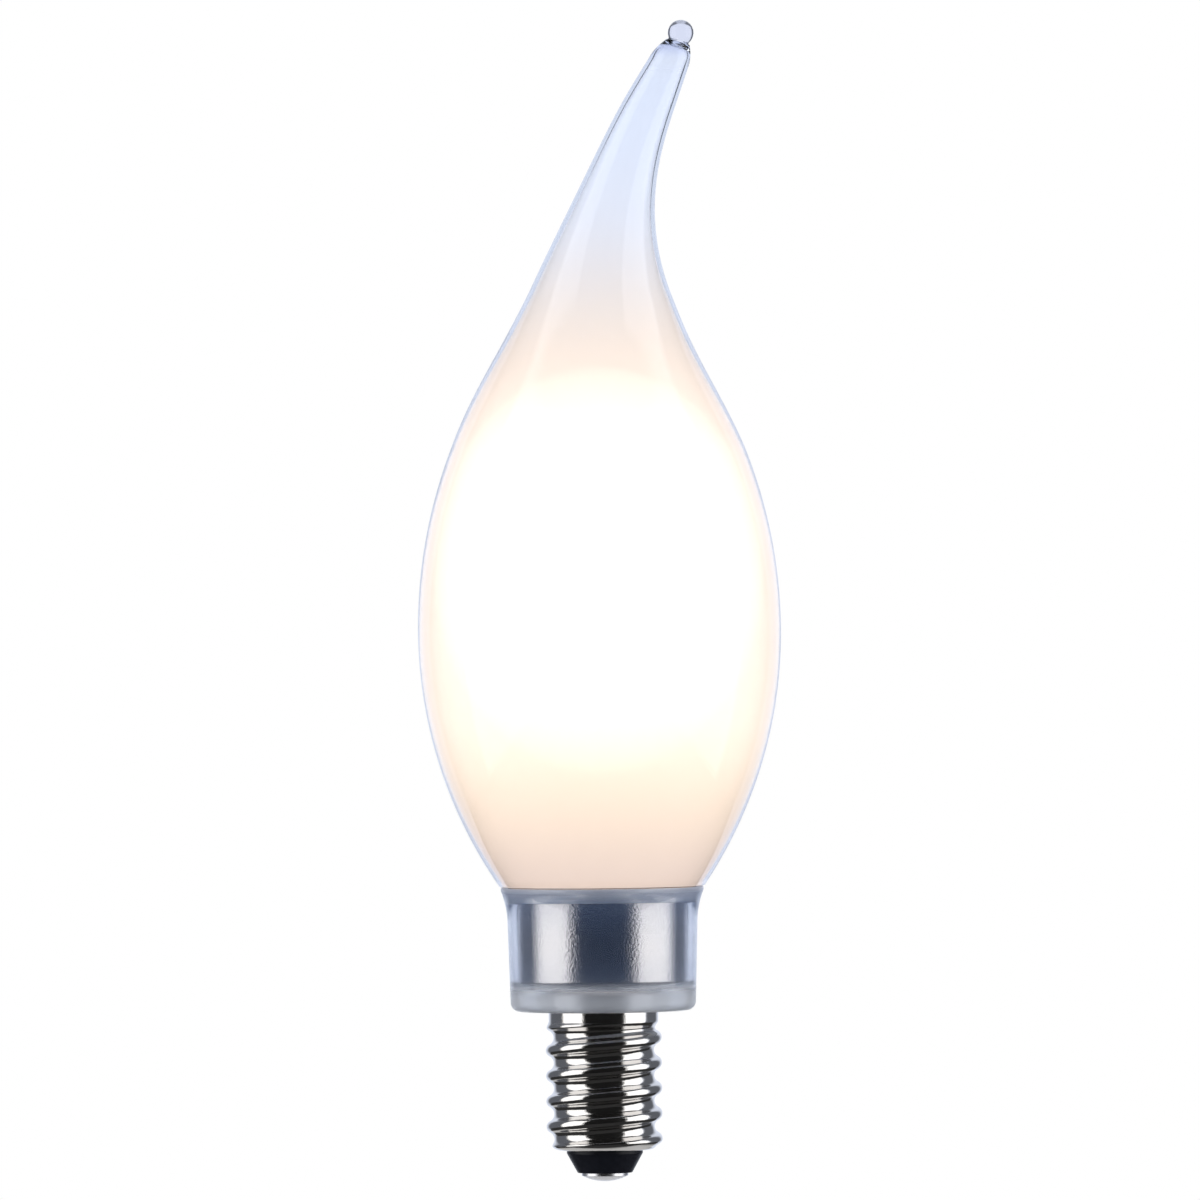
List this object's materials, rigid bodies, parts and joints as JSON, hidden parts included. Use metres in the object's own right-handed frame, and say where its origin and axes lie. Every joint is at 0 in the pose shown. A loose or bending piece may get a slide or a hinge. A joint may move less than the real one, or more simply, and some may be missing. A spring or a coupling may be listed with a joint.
{
  "type": "candle bulb",
  "caption": "Frosted candle bulb with a bent, drawn-out flame tip, a pale plastic collar round a brushed metal cup, and a small E12 screw base.",
  "frame": {"origin": "The lowest point of the centre contact, on the axis of the screw base.", "axes": "+Z runs from the contact to the flame along the axis of the base. +X is the way the tip leans. +Y is away from a viewer who sees the tip lean to the right."},
  "size_m": [0.0362, 0.0362, 0.116],
  "materials": {
    "frosted_glass": "clear outside over a milky inner coat",
    "pale_plastic": "glossy, see-through pale blue",
    "brushed_metal": "brushed round the axis",
    "nickel_plate": "bright nickel plate",
    "black_insulation": "black, slightly glossy",
    "bright_contact": "bright, slightly dull metal"
  },
  "bodies": {
    "root": {"glass_bulb": "frosted_glass", "collar": "pale_plastic", "metal_cup": "brushed_metal", "screw_shell": "nickel_plate", "insulator": "black_insulation", "centre_contact": "bright_contact"}
  },
  "joints": []
}
